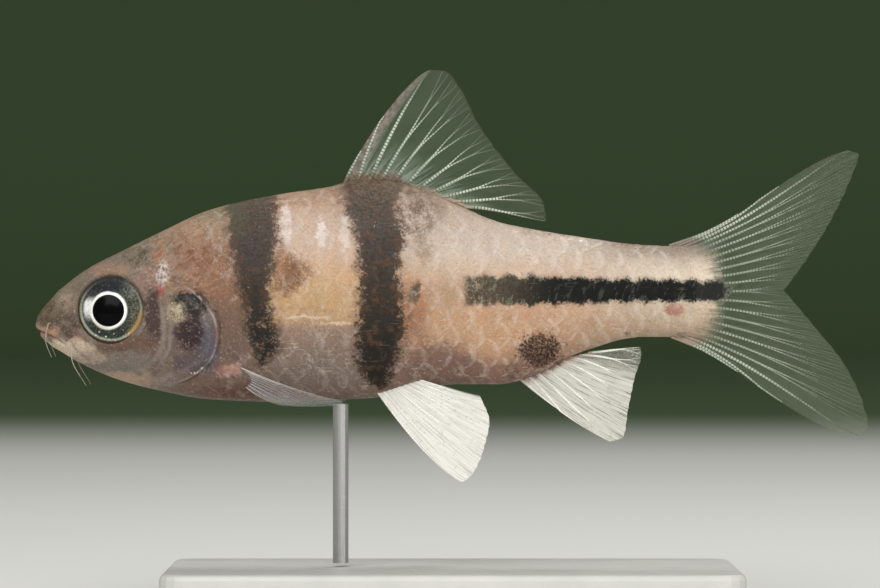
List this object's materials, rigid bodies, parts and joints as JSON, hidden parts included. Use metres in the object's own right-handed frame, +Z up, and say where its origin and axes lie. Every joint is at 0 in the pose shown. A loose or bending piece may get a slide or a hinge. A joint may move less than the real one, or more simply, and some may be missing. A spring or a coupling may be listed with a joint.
{
  "type": "spanner barb",
  "caption": "Young spanner barb, a small barred freshwater fish with barbels and clear fins, swimming level as a still model on a rod and flat display base.",
  "frame": {"origin": "centre of the bounding box's bottom face, on the underside of the display base", "axes": "+X from the snout to the tail, +Y to the fish's right flank, +Z up; the left flank, which the picture shows, faces -Y"},
  "size_m": [0.0642, 0.026, 0.0413],
  "materials": {
    "skin": "moist scaled skin, semi-gloss",
    "head_skin": "moist bare skin, semi-gloss",
    "eye": "clear gloss over a silver ring and black pupil",
    "barbel": "moist bare skin",
    "fin": "clear membrane with whitish rays",
    "stand_base": "satin",
    "stand_rod": "brushed"
  },
  "bodies": {
    "root": {"torso": "skin", "tail_stem": "skin", "head": "head_skin", "jaw": "head_skin", "gill_cover_left": "head_skin", "gill_cover_right": "head_skin", "eye_left": "eye", "eye_right": "eye", "barbel_front_left": "barbel", "barbel_front_right": "barbel", "barbel_rear_left": "barbel", "barbel_rear_right": "barbel", "dorsal_fin": "fin", "anal_fin": "fin", "tail_fin_upper": "fin", "tail_fin_lower": "fin", "pelvic_fin_left": "fin", "pelvic_fin_right": "fin", "pectoral_fin_left": "fin", "pectoral_fin_right": "fin", "stand_base": "stand_base", "stand_rod": "stand_rod"}
  },
  "joints": []
}
